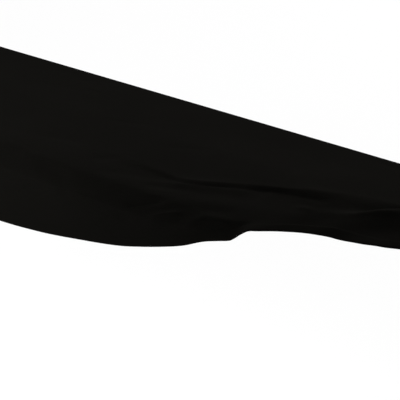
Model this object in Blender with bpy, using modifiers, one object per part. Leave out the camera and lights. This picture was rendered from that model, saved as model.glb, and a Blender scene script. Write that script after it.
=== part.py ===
"""A stretch cloth dust cover for a slab digital piano, as one draped sheet.

The cover is hollow and open below. Its top is level over the back part and falls in a taut slope to the
front edge, and its drop hangs down all round. At the left the front hem hangs low. Towards the right it
is pushed up and back over the front edge, which gathers the cloth in soft folds.

Metres, +X to the right, +Y to the back, +Z up. The origin is under the middle of the level top.
"""

import bpy
import bmesh
import numpy as np

# The cover as it sits, outside
LENGTH = 1.383
FRONT_REACH = 0.236
BACK_REACH = 0.068
CORNER_RADIUS = 0.030
EDGE_RADIUS = 0.007
CLOTH_THICKNESS = 0.0015

# The sections run outwards from a line on the level top, over the origin
SPINE_HALF = 0.490

# The taut top: its height at each distance in from the front drop
TOP_COLUMNS = ("front_in", "up")
TOP = (
    (0.0000, -0.0445),
    (0.0225, -0.0210),
    (0.0755, -0.0090),
    (0.1685, 0.0015),
    (0.3040, 0.0015),
)

# Sections round the cover, counter-clockwise from the left of the front. "along" is X on the front and
# back, Y on the ends. "in" is a distance inwards from the drop, "lift" a height above the taut top, and
# hem_up the hem's own height. The front's rows run on a little into the corner.
SECTION_COLUMNS = (
    "side", "along",
    "crest_in", "crest_lift", "valley_in", "valley_lift",
    "shoulder_in", "shoulder_lift", "knee_in", "knee_lift", "hem_in", "hem_up",
)
SECTIONS = (
    ("front", -0.640, 0.0755, 0.0000, 0.0480, 0.0000, 0.0225, 0.0000, 0.0020, 0.0000, 0.0000, -0.1200),
    ("front", -0.330, 0.0755, 0.0000, 0.0480, 0.0000, 0.0225, 0.0000, 0.0020, 0.0000, 0.0000, -0.1195),
    ("front", -0.206, 0.0755, 0.0000, 0.0480, 0.0000, 0.0225, 0.0000, 0.0020, 0.0000, 0.0000, -0.1167),
    ("front", -0.136, 0.0755, 0.0000, 0.0480, 0.0000, 0.0225, 0.0000, 0.0020, 0.0000, 0.0000, -0.1110),
    ("front", -0.069, 0.0740, 0.0005, 0.0500, -0.0010, 0.0225, 0.0000, 0.0020, 0.0000, 0.0000, -0.1011),
    ("front", -0.005, 0.0690, 0.0015, 0.0590, -0.0010, 0.0225, 0.0005, 0.0020, 0.0000, 0.0000, -0.0894),
    ("front", 0.033, 0.0640, 0.0020, 0.0565, -0.0015, 0.0235, 0.0005, 0.0020, 0.0000, 0.0000, -0.0788),
    ("front", 0.056, 0.0695, 0.0025, 0.0610, -0.0015, 0.0250, 0.0005, 0.0035, 0.0000, 0.0005, -0.0716),
    ("front", 0.085, 0.0825, 0.0030, 0.0735, -0.0020, 0.0290, 0.0010, 0.0070, 0.0000, 0.0030, -0.0618),
    ("front", 0.112, 0.0975, 0.0030, 0.0860, -0.0015, 0.0370, 0.0005, 0.0145, 0.0000, 0.0094, -0.0499),
    ("front", 0.130, 0.1065, 0.0030, 0.0970, -0.0020, 0.0470, -0.0005, 0.0240, -0.0020, 0.0134, -0.0446),
    ("front", 0.143, 0.1100, 0.0035, 0.1035, -0.0010, 0.0560, -0.0015, 0.0310, -0.0030, 0.0161, -0.0406),
    ("front", 0.151, 0.1140, 0.0030, 0.1060, -0.0015, 0.0620, -0.0020, 0.0360, -0.0035, 0.0183, -0.0326),
    ("front", 0.165, 0.1205, 0.0030, 0.1090, -0.0020, 0.0720, -0.0025, 0.0420, -0.0042, 0.0228, -0.0235),
    ("front", 0.191, 0.1330, 0.0020, 0.1160, -0.0030, 0.0850, -0.0028, 0.0600, -0.0060, 0.0450, -0.0226),
    ("front", 0.219, 0.1490, 0.0010, 0.1280, -0.0035, 0.1010, -0.0045, 0.0780, -0.0080, 0.0640, -0.0222),
    ("front", 0.245, 0.1600, 0.0005, 0.1310, -0.0055, 0.1080, -0.0010, 0.0820, -0.0065, 0.0725, -0.0222),
    ("front", 0.277, 0.1670, 0.0000, 0.1470, -0.0060, 0.1270, 0.0075, 0.0930, -0.0050, 0.0735, -0.0187),
    ("front", 0.304, 0.1730, 0.0000, 0.1600, -0.0050, 0.1440, 0.0100, 0.1040, -0.0050, 0.0785, -0.0160),
    ("front", 0.328, 0.1790, 0.0000, 0.1680, -0.0035, 0.1550, 0.0085, 0.1120, -0.0050, 0.0895, -0.0160),
    ("front", 0.450, 0.1850, 0.0000, 0.1740, 0.0000, 0.1540, 0.0020, 0.1120, -0.0030, 0.0900, -0.0135),
    ("front", 0.600, 0.1860, 0.0000, 0.1650, -0.0005, 0.1320, 0.0010, 0.0990, -0.0005, 0.0893, -0.0110),
    ("front", 0.660, 0.2077, 0.0000, 0.1850, 0.0000, 0.1500, 0.0000, 0.1170, 0.0000, 0.1073, -0.0105),
    ("front", 0.685, 0.2094, 0.0000, 0.1860, 0.0000, 0.1500, 0.0000, 0.1180, 0.0000, 0.1082, -0.0105),
    ("right", -0.200, 0.1881, 0.0000, 0.1600, 0.0000, 0.1260, 0.0000, 0.0980, 0.0000, 0.0873, -0.0110),
    ("right", -0.160, 0.1488, 0.0000, 0.1200, 0.0000, 0.0860, 0.0000, 0.0640, 0.0000, 0.0526, -0.0130),
    ("right", -0.125, 0.1200, 0.0000, 0.0880, 0.0000, 0.0520, 0.0000, 0.0350, 0.0000, 0.0263, -0.0165),
    ("right", -0.095, 0.1200, 0.0000, 0.0700, 0.0000, 0.0320, 0.0000, 0.0160, 0.0000, 0.0096, -0.0270),
    ("right", -0.070, 0.1200, 0.0000, 0.0600, 0.0000, 0.0220, 0.0000, 0.0060, 0.0000, 0.0010, -0.0400),
    ("right", -0.040, 0.1200, 0.0000, 0.0600, 0.0000, 0.0200, 0.0000, 0.0020, 0.0000, 0.0000, -0.0600),
    ("right", 0.020, 0.1200, 0.0000, 0.0600, 0.0000, 0.0200, 0.0000, 0.0020, 0.0000, 0.0000, -0.0860),
    ("back", 0.600, 0.0500, 0.0000, 0.0350, 0.0000, 0.0150, 0.0000, 0.0020, 0.0000, 0.0000, -0.0970),
    ("back", -0.600, 0.0500, 0.0000, 0.0350, 0.0000, 0.0150, 0.0000, 0.0020, 0.0000, 0.0000, -0.1000),
    ("left", 0.020, 0.1200, 0.0000, 0.0600, 0.0000, 0.0200, 0.0000, 0.0020, 0.0000, 0.0000, -0.1080),
    ("left", -0.180, 0.1200, 0.0000, 0.0600, 0.0000, 0.0200, 0.0000, 0.0020, 0.0000, 0.0000, -0.1180),
)

# The points of a section below its spine, and how many faces lead down to each
POINTS = (
    ("crest", 5),
    ("valley", 3),
    ("shoulder", 4),
    ("knee", 4),
    ("hem", 4),
)

# Columns of faces: the ends of each stretch along X, and the width of its faces
STRETCHES = (
    (-0.6615, -0.4900, 0.043),
    (-0.4900, -0.1500, 0.043),
    (-0.1500, 0.0400, 0.024),
    (0.0400, 0.3400, 0.0125),
    (0.3400, 0.4900, 0.030),
    (0.4900, 0.6615, 0.043),
)
CORNER_FACES = 5
END_FACES = 8

CLOTH_COLOUR = (0.012, 0.012, 0.011, 1.0)


def clear_scene():
    for scene_object in list(bpy.data.objects):
        bpy.data.objects.remove(scene_object, do_unlink=True)


def monotone_slopes(knots, values):
    """The slope at each knot that keeps a cubic through the values from overshooting them."""
    steps = np.diff(knots, axis=0)
    rises = np.diff(values, axis=0) / steps
    before, after = rises[:-1], rises[1:]
    both = before * after
    weight_before = 2 * steps[1:] + steps[:-1]
    weight_after = steps[1:] + 2 * steps[:-1]
    safe_before = np.where(both > 0, before, 1.0)
    safe_after = np.where(both > 0, after, 1.0)
    mean = (weight_before + weight_after) / (weight_before / safe_before + weight_after / safe_after)
    return np.concatenate([rises[:1], np.where(both > 0, mean, 0.0), rises[-1:]])


def curve_through(knots, values, span, share):
    """Points on the smooth curve through values, at a share of the way along the given spans."""
    slopes = monotone_slopes(knots, values)
    width = knots[span + 1] - knots[span]
    rest = 1 - share
    from_start = (1 + 2 * share) * rest**2 * values[span] + share * rest**2 * width * slopes[span]
    from_end = (3 - 2 * share) * share**2 * values[span + 1] - share**2 * rest * width * slopes[span + 1]
    return from_start + from_end


def at_places(knots, values, places):
    """The smooth curve through values at one-dimensional knots, read at the given places."""
    span = np.clip(np.searchsorted(knots, places, side="right") - 1, 0, len(knots) - 2)
    share = (places - knots[span]) / (knots[span + 1] - knots[span])
    across = (slice(None),) + (None,) * (values.ndim - 1)
    return curve_through(knots[across], values, span, share[across])


def taut_top(y):
    """Height of the taut top at y."""
    top = dict(zip(TOP_COLUMNS, np.array(TOP).T))
    front_in = np.clip(y + FRONT_REACH, 0.0, top["front_in"][-1])
    return at_places(top["front_in"], top["up"], front_in.ravel()).reshape(front_in.shape)


def straights():
    """Lengths of the outline's straight stretches along X and Y, and of one corner's arc."""
    return (
        LENGTH - 2 * CORNER_RADIUS,
        FRONT_REACH + BACK_REACH - 2 * CORNER_RADIUS,
        CORNER_RADIUS * np.pi / 2,
    )


def distance_round(side, along):
    """How far round the outline a section lies, from the left end of the front's straight stretch."""
    long, short, arc = straights()
    if side == "front":
        return along + long / 2
    if side == "right":
        return long + arc + along + FRONT_REACH - CORNER_RADIUS
    if side == "back":
        return long + 2 * arc + short + long / 2 - along
    return 2 * long + 3 * arc + short + BACK_REACH - CORNER_RADIUS - along


def outline(distance):
    """Plan points on the rounded rectangle at distances round it."""
    long, short, arc = straights()
    total = 2 * (long + short) + 4 * arc
    left = distance % total
    half = LENGTH / 2
    points = np.zeros(distance.shape + (2,))
    begin = 0.0
    corner_and_heading = (
        ((-half + CORNER_RADIUS, -FRONT_REACH), 0.0, long),
        ((half, -FRONT_REACH + CORNER_RADIUS), np.pi / 2, short),
        ((half - CORNER_RADIUS, BACK_REACH), np.pi, long),
        ((-half, BACK_REACH - CORNER_RADIUS), 3 * np.pi / 2, short),
    )
    for start, heading, straight in corner_and_heading:
        run = left - begin
        ahead = np.array([np.cos(heading), np.sin(heading)])
        inwards = np.array([-ahead[1], ahead[0]])
        on_straight = (run >= 0) & (run <= straight)
        points[on_straight] = np.array(start) + run[on_straight, None] * ahead
        on_arc = (run > straight) & (run < straight + arc)
        turn = ((run[on_arc] - straight) / CORNER_RADIUS)[:, None]
        swing = np.sin(turn) * ahead + (1 - np.cos(turn)) * inwards
        points[on_arc] = np.array(start) + straight * ahead + CORNER_RADIUS * swing
        begin += straight + arc
    return points


def column_places():
    """Distances round the outline of all the columns of faces."""
    long, short, arc = straights()
    xs = [np.linspace(a, b, max(1, round((b - a) / step)) + 1)[:-1] for a, b, step in STRETCHES]
    xs = np.concatenate(xs + [[STRETCHES[-1][1]]])
    corner = np.linspace(0, arc, CORNER_FACES + 1)[1:-1]
    end = np.linspace(0, short, END_FACES + 1)
    front = xs + long / 2
    right = long + arc + end
    back = long + 2 * arc + short + long / 2 - xs[::-1]
    left = right + long + short + 2 * arc
    return np.concatenate(
        [front, long + corner, right, long + arc + short + corner, back]
        + [back[-1] + corner, left, left[-1] + corner]
    )


def section_values(places):
    """The section table read smoothly round the cover: a row of values for each of its columns."""
    long, short, arc = straights()
    total = 2 * (long + short) + 4 * arc
    knots = np.array([distance_round(row[0], row[1]) for row in SECTIONS])
    values = np.array([row[2:] for row in SECTIONS])
    order = np.argsort(knots)
    knots, values = knots[order], values[order]
    knots = np.concatenate([knots[-2:] - total, knots, knots[:2] + total])
    values = np.concatenate([values[-2:], values, values[:2]])
    return dict(zip(SECTION_COLUMNS[2:], at_places(knots, values, places).T))


def edge_fall(inwards):
    """How far the rounded edge has fallen below the top, at a distance in from the drop."""
    short_of = np.clip(EDGE_RADIUS - inwards, 0.0, EDGE_RADIUS)
    return EDGE_RADIUS - np.sqrt(EDGE_RADIUS**2 - short_of**2)


def on_cover(edge, spine, inwards, lift):
    """Points at a distance in from the drop, on the way to the spine, and a height above the taut top."""
    reach = np.linalg.norm(spine - edge, axis=-1)
    plan = edge + (inwards / reach)[..., None] * (spine - edge)
    up = taut_top(plan[..., 1]) + lift - edge_fall(inwards)
    return np.concatenate([plan, up[..., None]], axis=-1)


def cover_grid():
    """The cover's outer surface: rings from the spine to the hem, by columns round it."""
    places = column_places()
    edge = outline(places)
    spine = np.stack([np.clip(edge[:, 0], -SPINE_HALF, SPINE_HALF), np.zeros(len(edge))], axis=-1)
    reach = np.linalg.norm(spine - edge, axis=1)
    section = section_values(places)
    names = [name for name, faces in POINTS]
    inwards = np.vstack([reach] + [section[name + "_in"] for name in names])
    hem_on_top = on_cover(edge, spine, section["hem_in"], 0.0)
    section["hem_lift"] = section["hem_up"] - hem_on_top[:, 2]
    lift = np.vstack([0 * reach] + [section[name + "_lift"] for name in names])
    control = on_cover(edge, spine, inwards, lift)
    steps = np.linalg.norm(np.diff(control, axis=0), axis=-1)
    knots = np.vstack([np.zeros(len(edge)), np.cumsum(steps, axis=0)])
    faces = [count for name, count in POINTS]
    span = np.repeat(np.arange(len(POINTS)), faces)
    share = np.concatenate([np.arange(count) / count for count in faces])[:, None]
    inwards = np.vstack([curve_through(knots, inwards, span, share), inwards[-1:]])
    lift = np.vstack([curve_through(knots, lift, span, share), lift[-1:]])
    return on_cover(edge, spine, inwards, lift)


def make_cloth_material():
    material = bpy.data.materials.new("stretch_cloth")
    material.use_nodes = True
    shader = material.node_tree.nodes["Principled BSDF"]
    shader.inputs["Base Color"].default_value = CLOTH_COLOUR
    shader.inputs["Roughness"].default_value = 0.8
    shader.inputs["Metallic"].default_value = 0.0
    return material


def make_cover(collection):
    """A loft of quads through the rings, made one body by Solidify inwards."""
    grid = cover_grid()
    rings, columns = grid.shape[:2]
    shape = bmesh.new()
    vertices = [[shape.verts.new(point) for point in ring] for ring in grid]
    for ring in range(rings - 1):
        for column in range(columns):
            beside = (column + 1) % columns
            shape.faces.new(
                (
                    vertices[ring][column],
                    vertices[ring + 1][column],
                    vertices[ring + 1][beside],
                    vertices[ring][beside],
                )
            )
    bmesh.ops.remove_doubles(shape, verts=shape.verts, dist=1e-5)
    mesh = bpy.data.meshes.new("cover")
    shape.to_mesh(mesh)
    shape.free()
    mesh.materials.append(make_cloth_material())
    cover = bpy.data.objects.new("cover", mesh)
    collection.objects.link(cover)
    solidify = cover.modifiers.new("cloth thickness", "SOLIDIFY")
    solidify.thickness = CLOTH_THICKNESS
    solidify.offset = -1.0
    solidify.use_even_offset = True
    mesh.shade_smooth()
    return cover


def main():
    clear_scene()
    collection = bpy.data.collections.new("piano_cover")
    bpy.context.scene.collection.children.link(collection)
    make_cover(collection)


main()
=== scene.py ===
# %% [markdown]
# # A stretch cloth piano cover
#
# The real thing is one cut of black stretch knit with a turned hem. It is pulled on tight, so it shows the
# shape that it covers: a level top, a soft slope to the front, and a drop all round. Here it is caught in
# use, with its front hem hanging low at the left and pushed up and back at the right.
#
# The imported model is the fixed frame: it gives the cover's length and its reach to the front and back.

# %% The frame
import bpy
import bmesh
import numpy as np
from mathutils import Matrix, Vector


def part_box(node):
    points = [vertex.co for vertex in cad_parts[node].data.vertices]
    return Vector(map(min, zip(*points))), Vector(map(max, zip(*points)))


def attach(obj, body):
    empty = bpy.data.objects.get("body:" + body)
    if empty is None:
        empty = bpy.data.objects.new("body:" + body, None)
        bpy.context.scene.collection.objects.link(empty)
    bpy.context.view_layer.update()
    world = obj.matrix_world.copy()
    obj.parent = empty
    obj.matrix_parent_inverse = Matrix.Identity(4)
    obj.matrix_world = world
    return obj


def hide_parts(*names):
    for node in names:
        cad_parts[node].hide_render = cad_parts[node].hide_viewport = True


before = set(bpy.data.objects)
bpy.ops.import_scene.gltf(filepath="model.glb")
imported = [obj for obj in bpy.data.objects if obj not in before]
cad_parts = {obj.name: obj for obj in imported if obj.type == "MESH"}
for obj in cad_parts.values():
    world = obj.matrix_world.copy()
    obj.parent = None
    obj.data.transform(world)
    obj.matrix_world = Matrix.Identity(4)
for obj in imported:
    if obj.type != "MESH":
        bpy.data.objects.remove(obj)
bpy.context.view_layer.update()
cover_low, cover_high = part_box("cover")
LENGTH = cover_high[0] - cover_low[0]
FRONT_REACH = -cover_low[1]
BACK_REACH = cover_high[1]
print("cover", round(LENGTH, 4), "long, from", round(-FRONT_REACH, 4), "to", round(BACK_REACH, 4), "in Y")

# %% [markdown]
# ## The camera
#
# A camera is a place, a direction and a focal length. Its direction is easiest to read as three turns:
# azimuth round the vertical, elevation above the horizon, and a roll, because the view is tilted. Both
# ends of the cover run out of the picture, so the place is close and the lens is long.

# %% The camera
CAMERA_PLACE = (0.9459, -1.4437, 0.5629)
CAMERA_AZIMUTH = 34.78
CAMERA_ELEVATION = 20.89
CAMERA_ROLL = 4.80
CAMERA_LENS_MM = 124.05
SENSOR_MM = 36.0


def aim(azimuth, elevation, roll):
    """The view straight down, rolled, tipped up by 90 degrees less elevation and turned by azimuth."""
    tip = Matrix.Rotation(np.radians(90.0 - elevation), 4, "X")
    swing = Matrix.Rotation(np.radians(azimuth), 4, "Z")
    return swing @ tip @ Matrix.Rotation(np.radians(roll), 4, "Z")


camera_data = bpy.data.cameras.new("camera")
camera_data.sensor_width = SENSOR_MM
camera_data.lens = CAMERA_LENS_MM
camera = bpy.data.objects.new("camera", camera_data)
camera.matrix_world = Matrix.Translation(CAMERA_PLACE) @ aim(CAMERA_AZIMUTH, CAMERA_ELEVATION, CAMERA_ROLL)
bpy.context.scene.collection.objects.link(camera)
bpy.context.scene.camera = camera
print("camera looks along", [round(x, 3) for x in camera.matrix_world.to_3x3() @ Vector((0, 0, -1))])

# %% [markdown]
# ## Smooth curves through a few values
#
# A maker marks a handful of measures and lets the cloth run smoothly between them. A plain cubic spline
# would overshoot at each mark and make folds that aren't there. This one picks its slopes so that it never
# leaves the range of the two marks it runs between.

# %% Smooth curves through a few values


def slopes_without_overshoot(knots, values):
    """At each inner knot the weighted harmonic mean of the slopes beside it, or 0 where they turn."""
    steps = np.diff(knots, axis=0)
    rises = np.diff(values, axis=0) / steps
    before, after = rises[:-1], rises[1:]
    same_way = before * after > 0
    heavy_after = 2 * steps[1:] + steps[:-1]
    heavy_before = steps[1:] + 2 * steps[:-1]
    shares = heavy_after / np.where(same_way, before, 1.0) + heavy_before / np.where(same_way, after, 1.0)
    inner = np.where(same_way, (heavy_after + heavy_before) / shares, 0.0)
    return np.concatenate([rises[:1], inner, rises[-1:]])


def curve_through(knots, values, span, share):
    """The cubic with its knots' values and slopes at the two ends of each span, at a share of it."""
    slopes = slopes_without_overshoot(knots, values)
    width = knots[span + 1] - knots[span]
    rest = 1 - share
    from_start = (1 + 2 * share) * rest**2 * values[span] + share * rest**2 * width * slopes[span]
    from_end = (3 - 2 * share) * share**2 * values[span + 1] - share**2 * rest * width * slopes[span + 1]
    return from_start + from_end


def read_at(knots, values, places):
    """The smooth curve through values at rising knots: find each place's span, then its share."""
    span = np.clip(np.searchsorted(knots, places, side="right") - 1, 0, len(knots) - 2)
    share = (places - knots[span]) / (knots[span + 1] - knots[span])
    per_column = (slice(None),) + (None,) * (values.ndim - 1)
    return curve_through(knots[per_column], values, span, share[per_column])


half_way = read_at(np.array([0.0, 1.0, 2.0]), np.array([0.0, 1.0, 1.0]), np.array([0.5, 1.5]))
print("half way between marks 0, 1 and 1 the curve reads", half_way, "and doesn't pass 1")


# %% [markdown]
# ## The outline in plan
#
# Seen from above the cover is a rounded rectangle. Every column of the cloth starts on a line over the
# middle of the top and runs out to a point on this outline, so the outline is written as a function of the
# distance round it, from the left end of the front.

# %% The outline in plan
CORNER_RADIUS = 0.030
SPINE_HALF = 0.490
LONG_SIDE = LENGTH - 2 * CORNER_RADIUS
SHORT_SIDE = FRONT_REACH + BACK_REACH - 2 * CORNER_RADIUS
CORNER_ARC = CORNER_RADIUS * np.pi / 2
ROUND = 2 * (LONG_SIDE + SHORT_SIDE) + 4 * CORNER_ARC


def outline(distance):
    """Start + run x heading on each side, then radius x (sin, 1 - cos) of the turn on its corner."""
    wrapped = distance % ROUND
    half = LENGTH / 2
    points = np.zeros(distance.shape + (2,))
    sides = (
        ((-half + CORNER_RADIUS, -FRONT_REACH), 0.0, LONG_SIDE),
        ((half, -FRONT_REACH + CORNER_RADIUS), np.pi / 2, SHORT_SIDE),
        ((half - CORNER_RADIUS, BACK_REACH), np.pi, LONG_SIDE),
        ((-half, BACK_REACH - CORNER_RADIUS), 3 * np.pi / 2, SHORT_SIDE),
    )
    begin = 0.0
    for start, heading, straight in sides:
        run = wrapped - begin
        ahead = np.array([np.cos(heading), np.sin(heading)])
        inwards = np.array([-ahead[1], ahead[0]])
        on_side = (run >= 0) & (run <= straight)
        on_corner = (run > straight) & (run < straight + CORNER_ARC)
        turn = ((run[on_corner] - straight) / CORNER_RADIUS)[:, None]
        points[on_side] = np.array(start) + run[on_side, None] * ahead
        swing = np.sin(turn) * ahead + (1 - np.cos(turn)) * inwards
        points[on_corner] = np.array(start) + straight * ahead + CORNER_RADIUS * swing
        begin += straight + CORNER_ARC
    return points


def distance_round(side, along):
    """Distance round the outline of a place given by its X on the front or back, or its Y on an end."""
    return {
        "front": along + LONG_SIDE / 2,
        "right": LONG_SIDE + CORNER_ARC + along + FRONT_REACH - CORNER_RADIUS,
        "back": 1.5 * LONG_SIDE + 2 * CORNER_ARC + SHORT_SIDE - along,
        "left": 2 * LONG_SIDE + 3 * CORNER_ARC + SHORT_SIDE + BACK_REACH - CORNER_RADIUS - along,
    }[side]


print("outline", round(ROUND, 3), "m round")

# %% [markdown]
# ## The sections
#
# The cloth is pulled taut over a level top that slopes down to the front edge: one short table. How it is
# pushed up is a second table, a row for each section round the cover. Five points of each section are
# given: the crest where the cloth leaves the top, the valley behind the pushed-up roll, the shoulder and
# knee of the drop, and the hem. Each is a distance in from the drop and a lift off the taut top, but the
# hem has its own height in place of a lift, because it hangs free.

# %% The sections
TOP_COLUMNS = ("front_in", "up")
TOP = (
    (0.0000, -0.0445),
    (0.0225, -0.0210),
    (0.0755, -0.0090),
    (0.1685, 0.0015),
    (0.3040, 0.0015),
)
EDGE_RADIUS = 0.007

SECTION_COLUMNS = (
    "side", "along",
    "crest_in", "crest_lift", "valley_in", "valley_lift",
    "shoulder_in", "shoulder_lift", "knee_in", "knee_lift", "hem_in", "hem_up",
)
SECTIONS = (
    ("front", -0.640, 0.0755, 0.0000, 0.0480, 0.0000, 0.0225, 0.0000, 0.0020, 0.0000, 0.0000, -0.1200),
    ("front", -0.330, 0.0755, 0.0000, 0.0480, 0.0000, 0.0225, 0.0000, 0.0020, 0.0000, 0.0000, -0.1195),
    ("front", -0.206, 0.0755, 0.0000, 0.0480, 0.0000, 0.0225, 0.0000, 0.0020, 0.0000, 0.0000, -0.1167),
    ("front", -0.136, 0.0755, 0.0000, 0.0480, 0.0000, 0.0225, 0.0000, 0.0020, 0.0000, 0.0000, -0.1110),
    ("front", -0.069, 0.0740, 0.0005, 0.0500, -0.0010, 0.0225, 0.0000, 0.0020, 0.0000, 0.0000, -0.1011),
    ("front", -0.005, 0.0690, 0.0015, 0.0590, -0.0010, 0.0225, 0.0005, 0.0020, 0.0000, 0.0000, -0.0894),
    ("front", 0.033, 0.0640, 0.0020, 0.0565, -0.0015, 0.0235, 0.0005, 0.0020, 0.0000, 0.0000, -0.0788),
    ("front", 0.056, 0.0695, 0.0025, 0.0610, -0.0015, 0.0250, 0.0005, 0.0035, 0.0000, 0.0005, -0.0716),
    ("front", 0.085, 0.0825, 0.0030, 0.0735, -0.0020, 0.0290, 0.0010, 0.0070, 0.0000, 0.0030, -0.0618),
    ("front", 0.112, 0.0975, 0.0030, 0.0860, -0.0015, 0.0370, 0.0005, 0.0145, 0.0000, 0.0094, -0.0499),
    ("front", 0.130, 0.1065, 0.0030, 0.0970, -0.0020, 0.0470, -0.0005, 0.0240, -0.0020, 0.0134, -0.0446),
    ("front", 0.143, 0.1100, 0.0035, 0.1035, -0.0010, 0.0560, -0.0015, 0.0310, -0.0030, 0.0161, -0.0406),
    ("front", 0.151, 0.1140, 0.0030, 0.1060, -0.0015, 0.0620, -0.0020, 0.0360, -0.0035, 0.0183, -0.0326),
    ("front", 0.165, 0.1205, 0.0030, 0.1090, -0.0020, 0.0720, -0.0025, 0.0420, -0.0042, 0.0228, -0.0235),
    ("front", 0.191, 0.1330, 0.0020, 0.1160, -0.0030, 0.0850, -0.0028, 0.0600, -0.0060, 0.0450, -0.0226),
    ("front", 0.219, 0.1490, 0.0010, 0.1280, -0.0035, 0.1010, -0.0045, 0.0780, -0.0080, 0.0640, -0.0222),
    ("front", 0.245, 0.1600, 0.0005, 0.1310, -0.0055, 0.1080, -0.0010, 0.0820, -0.0065, 0.0725, -0.0222),
    ("front", 0.277, 0.1670, 0.0000, 0.1470, -0.0060, 0.1270, 0.0075, 0.0930, -0.0050, 0.0735, -0.0187),
    ("front", 0.304, 0.1730, 0.0000, 0.1600, -0.0050, 0.1440, 0.0100, 0.1040, -0.0050, 0.0785, -0.0160),
    ("front", 0.328, 0.1790, 0.0000, 0.1680, -0.0035, 0.1550, 0.0085, 0.1120, -0.0050, 0.0895, -0.0160),
    ("front", 0.450, 0.1850, 0.0000, 0.1740, 0.0000, 0.1540, 0.0020, 0.1120, -0.0030, 0.0900, -0.0135),
    ("front", 0.600, 0.1860, 0.0000, 0.1650, -0.0005, 0.1320, 0.0010, 0.0990, -0.0005, 0.0893, -0.0110),
    ("front", 0.660, 0.2077, 0.0000, 0.1850, 0.0000, 0.1500, 0.0000, 0.1170, 0.0000, 0.1073, -0.0105),
    ("front", 0.685, 0.2094, 0.0000, 0.1860, 0.0000, 0.1500, 0.0000, 0.1180, 0.0000, 0.1082, -0.0105),
    ("right", -0.200, 0.1881, 0.0000, 0.1600, 0.0000, 0.1260, 0.0000, 0.0980, 0.0000, 0.0873, -0.0110),
    ("right", -0.160, 0.1488, 0.0000, 0.1200, 0.0000, 0.0860, 0.0000, 0.0640, 0.0000, 0.0526, -0.0130),
    ("right", -0.125, 0.1200, 0.0000, 0.0880, 0.0000, 0.0520, 0.0000, 0.0350, 0.0000, 0.0263, -0.0165),
    ("right", -0.095, 0.1200, 0.0000, 0.0700, 0.0000, 0.0320, 0.0000, 0.0160, 0.0000, 0.0096, -0.0270),
    ("right", -0.070, 0.1200, 0.0000, 0.0600, 0.0000, 0.0220, 0.0000, 0.0060, 0.0000, 0.0010, -0.0400),
    ("right", -0.040, 0.1200, 0.0000, 0.0600, 0.0000, 0.0200, 0.0000, 0.0020, 0.0000, 0.0000, -0.0600),
    ("right", 0.020, 0.1200, 0.0000, 0.0600, 0.0000, 0.0200, 0.0000, 0.0020, 0.0000, 0.0000, -0.0860),
    ("back", 0.600, 0.0500, 0.0000, 0.0350, 0.0000, 0.0150, 0.0000, 0.0020, 0.0000, 0.0000, -0.0970),
    ("back", -0.600, 0.0500, 0.0000, 0.0350, 0.0000, 0.0150, 0.0000, 0.0020, 0.0000, 0.0000, -0.1000),
    ("left", 0.020, 0.1200, 0.0000, 0.0600, 0.0000, 0.0200, 0.0000, 0.0020, 0.0000, 0.0000, -0.1080),
    ("left", -0.180, 0.1200, 0.0000, 0.0600, 0.0000, 0.0200, 0.0000, 0.0020, 0.0000, 0.0000, -0.1180),
)


def taut_top(y):
    """Height of the cloth pulled tight: the smooth curve through the top's table at a distance in."""
    top = dict(zip(TOP_COLUMNS, np.array(TOP).T))
    front_in = np.clip(y + FRONT_REACH, 0.0, top["front_in"][-1])
    return read_at(top["front_in"], top["up"], front_in.ravel()).reshape(front_in.shape)


def section_values(places):
    """Each column of the section table, read smoothly round the cover, with its ends joined."""
    knots = np.array([distance_round(row[0], row[1]) for row in SECTIONS])
    values = np.array([row[2:] for row in SECTIONS])
    order = np.argsort(knots)
    knots, values = knots[order], values[order]
    knots = np.concatenate([knots[-2:] - ROUND, knots, knots[:2] + ROUND])
    values = np.concatenate([values[-2:], values, values[:2]])
    return dict(zip(SECTION_COLUMNS[2:], read_at(knots, values, places).T))


hem_heights = [row[-1] for row in SECTIONS]
print("sections", len(SECTIONS), "with hems from", min(hem_heights), "to", max(hem_heights))


# %% [markdown]
# ## The draped surface
#
# The surface has two parameters: how far round the cover, and how far down from the middle of the top
# to the hem. Columns are closer together where the folds are. Rings follow the five points of each
# section, so a fold runs along the mesh and not across it. The last rings keep fixed distances from the
# hem.

# %% The draped surface
STRETCHES = (
    (-LONG_SIDE / 2, -SPINE_HALF, 0.0100),
    (-SPINE_HALF, -0.1500, 0.0085),
    (-0.1500, 0.0300, 0.0060),
    (0.0300, 0.3400, 0.0045),
    (0.3400, SPINE_HALF, 0.0075),
    (SPINE_HALF, LONG_SIDE / 2, 0.0085),
)
CORNER_FACES = 7
END_FACES = 18
RINGS_BETWEEN = (36, 12, 18, 16, 12)
HEM_RINGS = np.array([0.0150, 0.0135, 0.0125, 0.0118, 0.0111, 0.0100, 0.0075, 0.0050, 0.0025, 0.0010])
HEM_MOST_SHARE = 0.9
POINT_NAMES = ("crest", "valley", "shoulder", "knee", "hem")


def column_places():
    """Distances round of the columns, with the same X front and back so that the halves meet."""
    runs = [np.linspace(a, b, round((b - a) / step) + 1)[:-1] for a, b, step in STRETCHES]
    xs = np.concatenate(runs + [[STRETCHES[-1][1]]])
    corner = np.linspace(0, CORNER_ARC, CORNER_FACES + 1)[1:-1]
    end = np.linspace(0, SHORT_SIDE, END_FACES + 1)
    half_round = ROUND / 2
    front = np.concatenate([xs + LONG_SIDE / 2, LONG_SIDE + corner])
    right = np.concatenate([LONG_SIDE + CORNER_ARC + end, LONG_SIDE + CORNER_ARC + SHORT_SIDE + corner])
    back = np.concatenate([distance_round("back", xs[::-1]), half_round + LONG_SIDE + corner])
    return np.concatenate([front, right, back, right + half_round])


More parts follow.
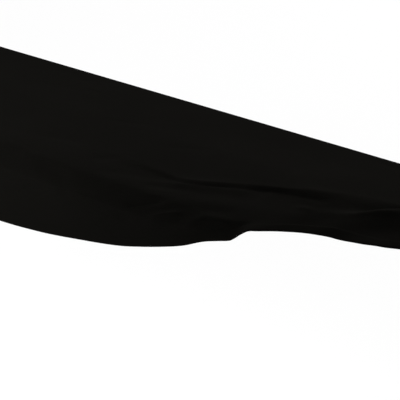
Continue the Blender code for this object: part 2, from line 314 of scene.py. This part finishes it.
def on_cover(edge, spine, inwards, lift):
    """In plan edge + inwards x heading to the spine; in height taut top + lift - edge's rounding."""
    reach = np.linalg.norm(spine - edge, axis=-1)
    plan = edge + (inwards / reach)[..., None] * (spine - edge)
    short_of = np.clip(EDGE_RADIUS - inwards, 0.0, EDGE_RADIUS)
    rounding = EDGE_RADIUS - np.sqrt(EDGE_RADIUS**2 - short_of**2)
    up = taut_top(plan[..., 1]) + lift - rounding
    return np.concatenate([plan, up[..., None]], axis=-1)


def draped_surface():
    """Rings from the spine to the hem by columns round, each a smooth curve through its section."""
    places = column_places()
    edge = outline(places)
    spine = np.stack([np.clip(edge[:, 0], -SPINE_HALF, SPINE_HALF), np.zeros(len(edge))], axis=-1)
    reach = np.linalg.norm(spine - edge, axis=1)
    section = section_values(places)
    section["hem_lift"] = section["hem_up"] - on_cover(edge, spine, section["hem_in"], 0.0)[:, 2]
    inwards = np.vstack([reach] + [section[name + "_in"] for name in POINT_NAMES])
    lift = np.vstack([0 * reach] + [section[name + "_lift"] for name in POINT_NAMES])
    steps = np.linalg.norm(np.diff(on_cover(edge, spine, inwards, lift), axis=0), axis=-1)
    knots = np.vstack([0 * reach, np.cumsum(steps, axis=0)])
    span = np.repeat(np.arange(len(RINGS_BETWEEN)), RINGS_BETWEEN)
    share = np.concatenate([np.arange(n) / n for n in RINGS_BETWEEN])[:, None] * np.ones(len(edge))
    # The hem's own rings take up the end of the last span, and most of it at the right, where it is short
    band = np.minimum(HEM_RINGS[0], HEM_MOST_SHARE * steps[-1])
    share[span == len(RINGS_BETWEEN) - 1] *= 1 - band / steps[-1]
    band_share = 1 - HEM_RINGS[:, None] / HEM_RINGS[0] * band / steps[-1]
    span = np.concatenate([span, np.full(len(HEM_RINGS) + 1, len(RINGS_BETWEEN) - 1)])
    share = np.vstack([share, band_share, np.ones(len(edge))])
    smooth_in = curve_through(knots, inwards, span, share)
    smooth_lift = curve_through(knots, lift, span, share)
    return places, on_cover(edge, spine, smooth_in, smooth_lift)


places, surface = draped_surface()
print("surface", surface.shape[0], "rings by", surface.shape[1], "columns")

# %% [markdown]
# ## Creases
#
# Cloth is easiest to crease in its own flat measures: how far along a side of the cover, and how far down
# the cloth from the middle of the top. Each crease is one row: its side, its two ends, its height and its
# half width. Troughs have a negative height. A soft bell across the crease and a fade at its ends keep it
# from looking drawn.

# %% Creases
CREASE_COLUMNS = ("side", "along_from", "down_from", "along_to", "down_to", "height", "half_width")
CREASES = (
    ("front", -0.002, 0.240, 0.040, 0.221, -0.0034, 0.0040),
    ("front", 0.036, 0.246, 0.070, 0.229, 0.0036, 0.0036),
    ("front", 0.052, 0.250, 0.078, 0.235, -0.0014, 0.0032),
    ("front", -0.044, 0.267, -0.012, 0.256, 0.0018, 0.0055),
    ("front", 0.086, 0.243, 0.104, 0.222, 0.0012, 0.0045),
    ("front", 0.102, 0.236, 0.124, 0.224, -0.0012, 0.0045),
    ("front", -0.150, 0.228, -0.104, 0.232, -0.0024, 0.0100),
    ("front", -0.230, 0.227, -0.188, 0.222, -0.0020, 0.0090),
    ("front", -0.108, 0.254, -0.058, 0.239, -0.0018, 0.0058),
    ("front", -0.196, 0.276, -0.126, 0.255, -0.0014, 0.0045),
    ("front", -0.064, 0.205, 0.020, 0.181, -0.0010, 0.0090),
    ("front", -0.094, 0.188, -0.070, 0.170, -0.0008, 0.0065),
    ("front", 0.004, 0.204, 0.056, 0.188, -0.0018, 0.0070),
    ("front", 0.026, 0.190, 0.118, 0.152, 0.0036, 0.0120),
    ("front", 0.060, 0.229, 0.132, 0.202, -0.0022, 0.0110),
    ("front", 0.172, 0.120, 0.262, 0.092, 0.0036, 0.0160),
    ("front", 0.212, 0.138, 0.252, 0.126, 0.0016, 0.0085),
    ("front", 0.250, 0.129, 0.290, 0.115, 0.0022, 0.0050),
    ("front", 0.172, 0.127, 0.206, 0.119, -0.0008, 0.0040),
    ("front", 0.184, 0.146, 0.200, 0.144, 0.0015, 0.0052),
    ("front", -0.400, 0.250, -0.290, 0.238, 0.0012, 0.0120),
    ("front", -0.330, 0.034, -0.250, 0.008, -0.0007, 0.0080),
    ("front", -0.150, 0.088, -0.100, 0.062, -0.0008, 0.0060),
    ("front", -0.045, 0.113, 0.010, 0.088, -0.0007, 0.0070),
    ("front", -0.215, 0.180, -0.135, 0.161, -0.0007, 0.0080),
    ("front", -0.640, 0.300, -0.605, 0.235, 0.0016, 0.0130),
    ("front", -0.500, 0.330, -0.480, 0.255, -0.0014, 0.0120),
    ("front", 0.400, 0.060, 0.500, 0.042, -0.0008, 0.0080),
    ("front", 0.370, 0.112, 0.460, 0.106, 0.0012, 0.0080),
    ("right", -0.045, 0.215, -0.020, 0.255, -0.0010, 0.0080),
    ("right", 0.015, 0.215, 0.020, 0.310, 0.0016, 0.0120),
    ("back", 0.600, 0.075, 0.540, 0.160, 0.0018, 0.0140),
    ("back", 0.425, 0.175, 0.400, 0.085, -0.0014, 0.0120),
    ("back", 0.265, 0.195, 0.235, 0.095, 0.0020, 0.0150),
    ("back", 0.130, 0.165, 0.150, 0.110, -0.0012, 0.0110),
    ("back", -0.040, 0.190, -0.015, 0.090, 0.0018, 0.0130),
    ("back", -0.210, 0.165, -0.230, 0.100, -0.0014, 0.0120),
    ("back", -0.375, 0.195, -0.345, 0.095, 0.0020, 0.0150),
    ("back", -0.530, 0.085, -0.595, 0.165, 0.0018, 0.0140),
    ("back", 0.300, 0.030, 0.180, 0.046, -0.0007, 0.0080),
    ("back", -0.380, 0.042, -0.270, 0.024, -0.0007, 0.0080),
    ("left", 0.015, 0.225, 0.000, 0.330, 0.0018, 0.0120),
    ("left", -0.080, 0.320, -0.065, 0.235, -0.0014, 0.0110),
    ("left", -0.165, 0.240, -0.185, 0.330, 0.0016, 0.0120),
)
FULL_HALF_SHARE = 0.3
FADE_SHARE = 0.25


def crease_heights(places, down):
    """Sum over the creases of height x bell(distance across / half width) x fade at the two ends."""
    sides = [row[0] for row in CREASES]
    numbers = np.array([row[1:] for row in CREASES]).T[:, :, None, None]
    crease = dict(zip(CREASE_COLUMNS[1:], numbers))
    starts = np.array([distance_round(side, row[1]) for side, row in zip(sides, CREASES)])[:, None, None]
    stops = np.array([distance_round(side, row[3]) for side, row in zip(sides, CREASES)])[:, None, None]
    run_round = stops - starts
    run_down = crease["down_to"] - crease["down_from"]
    length = np.hypot(run_round, run_down)
    from_start = places - starts
    from_down = down - crease["down_from"]
    share = (from_start * run_round + from_down * run_down) / length**2
    across = (from_start * run_down - from_down * run_round) / length
    past_end = np.maximum(np.abs(share - 0.5) - FULL_HALF_SHARE, 0.0) / FADE_SHARE
    return (crease["height"] * np.exp(-((across / crease["half_width"]) ** 2) - past_end**2)).sum(axis=0)


def down_the_cloth(points):
    """Length of cloth from the spine down to each ring."""
    steps = np.linalg.norm(np.diff(points, axis=0), axis=-1)
    return np.vstack([np.zeros(points.shape[1]), np.cumsum(steps, axis=0)])


def outward_normals(points):
    """Cross product of the steps down and round the grid, with the spine's own normals straight up."""
    round_step = np.roll(points, -1, axis=1) - np.roll(points, 1, axis=1)
    normals = np.cross(np.gradient(points, axis=0), round_step)
    normals[0] = (0.0, 0.0, 1.0)
    return normals / np.linalg.norm(normals, axis=-1, keepdims=True)


crease_lift = crease_heights(places, down_the_cloth(surface))
creased = surface + crease_lift[..., None] * outward_normals(surface)
deepest = float(np.abs(creased - surface).max())
print("creases", len(CREASES), "moving the cloth by up to", round(deepest * 1000, 2), "mm")

# %% [markdown]
# ## The cloth as a closed sheet
#
# A sheet has two faces and a folded edge. The outer face is the surface itself, the inner face lies one
# thickness behind it, and a half round lip joins them at the hem. The hem is turned and stitched, so the
# cloth is nearly twice as thick over its last 12 mm.

# %% The cloth as a closed sheet
CLOTH_THICKNESS = 0.0015
HEM_WIDTH = 0.0118
HEM_STEP = 0.0009
HEM_EXTRA = 0.0006
LIP_ANGLES = np.radians([30, 60, 90, 120, 150])
INNER_RINGS_APART = 3


def hem_share(from_hem):
    """0 above the hem and 1 in it, with a smooth step s x s x (3 - 2 s) at the hem's top edge."""
    s = np.clip((HEM_WIDTH - from_hem) / HEM_STEP + 0.5, 0.0, 1.0)
    return s * s * (3 - 2 * s)


def closed_sheet(points):
    """Outer rings down, lip = middle + half thickness x (cos, sin) of its angle, inner rings up."""
    lengths = np.linalg.norm(np.diff(points, axis=0), axis=-1)
    from_hem = np.vstack([np.cumsum(lengths[::-1], axis=0)[::-1], np.zeros(points.shape[1])])
    normals = outward_normals(points)
    extra = HEM_EXTRA * hem_share(from_hem)
    outer = points + extra[..., None] * normals
    thickness = CLOTH_THICKNESS + 2 * extra
    inner = outer - thickness[..., None] * normals
    down_at_hem = points[-1] - points[-3]
    down_at_hem /= np.linalg.norm(down_at_hem, axis=-1, keepdims=True)
    half = (thickness[-1] / 2)[None, :, None]
    middle = (outer[-1] + inner[-1]) / 2
    angle = LIP_ANGLES[:, None, None]
    lip = middle + half * (np.cos(angle) * normals[-1] + np.sin(angle) * down_at_hem)
    hem_from = len(points) - len(HEM_RINGS)
    kept = np.concatenate([np.arange(0, hem_from, INNER_RINGS_APART), np.arange(hem_from, len(points))])
    rings = np.concatenate([outer, lip, inner[kept][::-1]])
    edge_height = np.zeros((len(LIP_ANGLES), points.shape[1]))
    up_from_hem = np.concatenate([from_hem, edge_height, from_hem[kept][::-1]])
    return rings, up_from_hem


rings, up_from_hem = closed_sheet(creased)
print("closed sheet", rings.shape[0], "rings,", rings.shape[0] * rings.shape[1] * 2, "triangles")

# %% [markdown]
# ## The mesh
#
# The grid becomes quads in one go: each face is a ring and column with their next ones. Two UV maps go
# with it, both in metres: the cloth's own flat measures for the knit, and the distance up from the hem
# for its stitching. The points on the spine are then merged, because the front and back halves share
# them.

# %% The mesh
MERGE_WITHIN = 1e-5


def grid_mesh(name, rings, columns_at, up_from_hem):
    """Faces (r, c), (r + 1, c), (r + 1, c + 1), (r, c + 1) of the rings r and columns c, closed round."""
    count, columns = rings.shape[:2]
    ring, column = np.meshgrid(np.arange(count - 1), np.arange(columns), indexing="ij")
    beside = (column + 1) % columns
    corners = [(ring, column, column), (ring + 1, column, column)]
    corners += [(ring + 1, beside, column + 1), (ring, beside, column + 1)]
    faces = np.stack([r * columns + c for r, c, unwrapped in corners], axis=-1).reshape(-1, 4)
    mesh = bpy.data.meshes.new(name)
    mesh.from_pydata(rings.reshape(-1, 3), [], faces)
    steps = np.linalg.norm(np.diff(rings, axis=0), axis=-1)
    down = np.vstack([np.zeros(columns), np.cumsum(steps, axis=0)])
    round_to = np.append(columns_at, columns_at[0] + ROUND)
    for uv_name, height in (("cloth", down), ("hem", up_from_hem)):
        flat = [np.stack([round_to[u], height[r, c]], axis=-1) for r, c, u in corners]
        layer = mesh.uv_layers.new(name=uv_name)
        layer.uv.foreach_set("vector", np.stack(flat, axis=2).astype(np.float32).ravel())
    shape = bmesh.new()
    shape.from_mesh(mesh)
    bmesh.ops.remove_doubles(shape, verts=shape.verts, dist=MERGE_WITHIN)
    shape.to_mesh(mesh)
    shape.free()
    mesh.shade_smooth()
    return mesh


cover = bpy.data.objects.new("draped_cover", grid_mesh("draped_cover", rings, places, up_from_hem))
bpy.context.scene.collection.objects.link(cover)
print("mesh", len(cover.data.vertices), "vertices,", len(cover.data.polygons), "faces")

# %% [markdown]
# ## The knit
#
# The cloth is a fine matt stretch knit, dyed near black. It has no gloss, so the shader's mirror part is
# off, and its folds show by how they face the light, with a trace of sheen for the fibres that stand up.
# Ribs and courses of loops are two wave patterns on the cloth's own measures, and a broad noise makes the
# dye a little uneven. The hem's stitches are a row of short dents.

# %% The knit
CLOTH_DARK = (0.0042, 0.0040, 0.0035, 1.0)
CLOTH_LIGHT = (0.0054, 0.0051, 0.0045, 1.0)
RIB_PITCH = 0.0011
COURSE_PITCH = 0.0008
KNIT_DEPTH = 0.00012
KNIT_STRENGTH = 0.6
DYE_CLOUDS_PER_METRE = 9.0
DYE_CLOUD_DETAIL = 4.0
STITCH_PITCH = 0.0032
STITCH_ROW_UP = 0.0095
STITCH_HALF_WIDTH = 0.0004
STITCH_FROM = 0.25
STITCH_DEPTH_IN_LOOPS = 2.0
CLOTH_ROUGHNESS = 0.9
CLOTH_MIRROR = 0.0
SHEEN_WEIGHT = 0.001
SHEEN_ROUGHNESS = 0.5


def add_node(tree, kind, inputs=(), **settings):
    """A node with its settings and inputs: a plain value is typed in, a socket is linked."""
    node = tree.nodes.new(kind)
    for name, value in settings.items():
        setattr(node, name, value)
    for key, value in dict(inputs).items():
        if isinstance(value, bpy.types.NodeSocket):
            tree.links.new(value, node.inputs[key])
        else:
            node.inputs[key].default_value = value
    return node


def maths(tree, operation, a, b=0.0, c=0.0):
    """One Math node's value."""
    return add_node(tree, "ShaderNodeMath", {0: a, 1: b, 2: c}, operation=operation).outputs[0]


def loops(tree, place, pitch):
    """Half a cosine wave above zero along one measure, one hump for each pitch."""
    turn = maths(tree, "MULTIPLY", place, 2 * np.pi / pitch)
    return maths(tree, "MULTIPLY_ADD", maths(tree, "COSINE", turn), 0.5, 0.5)


def knit_material():
    """Relief = rib loops x course loops - stitch dents; colour = dark to light by a broad noise."""
    material = bpy.data.materials.new("stretch_knit")
    material.use_nodes = True
    tree = material.node_tree
    shader = tree.nodes["Principled BSDF"]
    cloth = add_node(tree, "ShaderNodeUVMap", uv_map="cloth").outputs["UV"]
    hem = add_node(tree, "ShaderNodeUVMap", uv_map="hem").outputs["UV"]
    across, along = add_node(tree, "ShaderNodeSeparateXYZ", {"Vector": cloth}).outputs[0:2]
    round_hem, up_hem = add_node(tree, "ShaderNodeSeparateXYZ", {"Vector": hem}).outputs[0:2]
    knit = maths(tree, "MULTIPLY", loops(tree, across, RIB_PITCH), loops(tree, along, COURSE_PITCH))
    # A stitch is where the row's own strip and the longer part of each pitch meet
    off_row = maths(tree, "ABSOLUTE", maths(tree, "SUBTRACT", up_hem, STITCH_ROW_UP))
    in_row = maths(tree, "LESS_THAN", off_row, STITCH_HALF_WIDTH)
    stitch = maths(tree, "GREATER_THAN", loops(tree, round_hem, STITCH_PITCH), STITCH_FROM)
    in_stitch = maths(tree, "MULTIPLY", in_row, stitch)
    dent = maths(tree, "MULTIPLY", in_stitch, STITCH_DEPTH_IN_LOOPS)
    height = maths(tree, "SUBTRACT", knit, dent)
    relief = {"Height": height, "Distance": KNIT_DEPTH, "Strength": KNIT_STRENGTH}
    bump = add_node(tree, "ShaderNodeBump", relief)
    object_place = add_node(tree, "ShaderNodeTexCoord").outputs["Object"]
    spread = {"Vector": object_place, "Scale": DYE_CLOUDS_PER_METRE, "Detail": DYE_CLOUD_DETAIL}
    clouds = add_node(tree, "ShaderNodeTexNoise", spread)
    dye = add_node(tree, "ShaderNodeMix", data_type="RGBA")
    tree.links.new(clouds.outputs["Fac"], dye.inputs["Factor"])
    dye.inputs["A"].default_value = CLOTH_DARK
    dye.inputs["B"].default_value = CLOTH_LIGHT
    tree.links.new(dye.outputs["Result"], shader.inputs["Base Color"])
    tree.links.new(bump.outputs["Normal"], shader.inputs["Normal"])
    shader.inputs["Roughness"].default_value = CLOTH_ROUGHNESS
    shader.inputs["Specular IOR Level"].default_value = CLOTH_MIRROR
    shader.inputs["Sheen Weight"].default_value = SHEEN_WEIGHT
    shader.inputs["Sheen Roughness"].default_value = SHEEN_ROUGHNESS
    return material


cover.data.materials.append(knit_material())
print("knit with", round(1 / RIB_PITCH), "ribs and", round(1 / COURSE_PITCH), "courses to the metre")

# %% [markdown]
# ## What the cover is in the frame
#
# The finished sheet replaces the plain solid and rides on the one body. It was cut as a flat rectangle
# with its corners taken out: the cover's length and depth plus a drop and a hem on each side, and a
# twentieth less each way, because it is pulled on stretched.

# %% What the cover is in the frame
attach(cover, "root")
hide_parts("cover")

# %% [markdown]
# ## Floor and light
#
# A plain pale floor lies well below, so no hard shadow meets the cloth. The main light is one broad soft
# one above and behind, which is why the top reads lighter than the folds that face forward. The floor
# throws some of it back at the drop, a small light at the front left lifts that end, and the surround
# adds only a little, because it would flatten the folds.

# %% Floor and light
FLOOR_Z = -0.62
FLOOR_SIZE = 60.0
FLOOR_COLOUR = (0.92, 0.92, 0.92, 1.0)
FLOOR_ROUGHNESS = 0.9
FLOOR_MIRROR = 0.1
SURROUND_COLOUR = (1.0, 1.0, 1.0, 1.0)
SURROUND_STRENGTH = 0.12
BACK_LIGHT_PLACE = (-0.6, 2.6, 2.1)
BACK_LIGHT_STRENGTH = 4.75
BACK_LIGHT_SPREAD = np.radians(50)
FRONT_LIGHT_PLACE = (-0.50, -0.66, 0.16)
FRONT_LIGHT_WATTS = 4.0
FRONT_LIGHT_SIZE = 0.3
MIDDLE_OF_TOP = (0.0, 0.0, 0.0)
LEFT_DROP = (-0.27, -0.20, -0.05)

bpy.ops.mesh.primitive_plane_add(size=FLOOR_SIZE, location=(0.0, 0.0, FLOOR_Z))
floor = bpy.context.object
floor.name = "floor"
floor_material = bpy.data.materials.new("pale_floor")
floor_material.use_nodes = True
floor_shader = floor_material.node_tree.nodes["Principled BSDF"]
floor_shader.inputs["Base Color"].default_value = FLOOR_COLOUR
floor_shader.inputs["Roughness"].default_value = FLOOR_ROUGHNESS
floor_shader.inputs["Specular IOR Level"].default_value = FLOOR_MIRROR
floor.data.materials.append(floor_material)

world = bpy.data.worlds.new("studio")
world.use_nodes = True
background = world.node_tree.nodes["Background"]
background.inputs["Color"].default_value = SURROUND_COLOUR
background.inputs["Strength"].default_value = SURROUND_STRENGTH
bpy.context.scene.world = world


def add_light(kind, name, place, target, energy, **settings):
    """A light at place, turned to face target."""
    data = bpy.data.lights.new(name, kind)
    data.energy = energy
    for setting, value in settings.items():
        setattr(data, setting, value)
    light = bpy.data.objects.new(name, data)
    light.location = place
    light.rotation_euler = (Vector(target) - Vector(place)).to_track_quat("-Z", "Y").to_euler()
    bpy.context.scene.collection.objects.link(light)
    return light


add_light(
    "SUN", "soft_back_light", BACK_LIGHT_PLACE, MIDDLE_OF_TOP, BACK_LIGHT_STRENGTH, angle=BACK_LIGHT_SPREAD
)
front_light = add_light(
    "AREA", "left_front_light", FRONT_LIGHT_PLACE, LEFT_DROP, FRONT_LIGHT_WATTS, size=FRONT_LIGHT_SIZE
)
front_light.visible_camera = False
bpy.context.scene.view_settings.view_transform = "Standard"
print("floor", -FLOOR_Z, "m below the top, lit by a broad light and a small one")
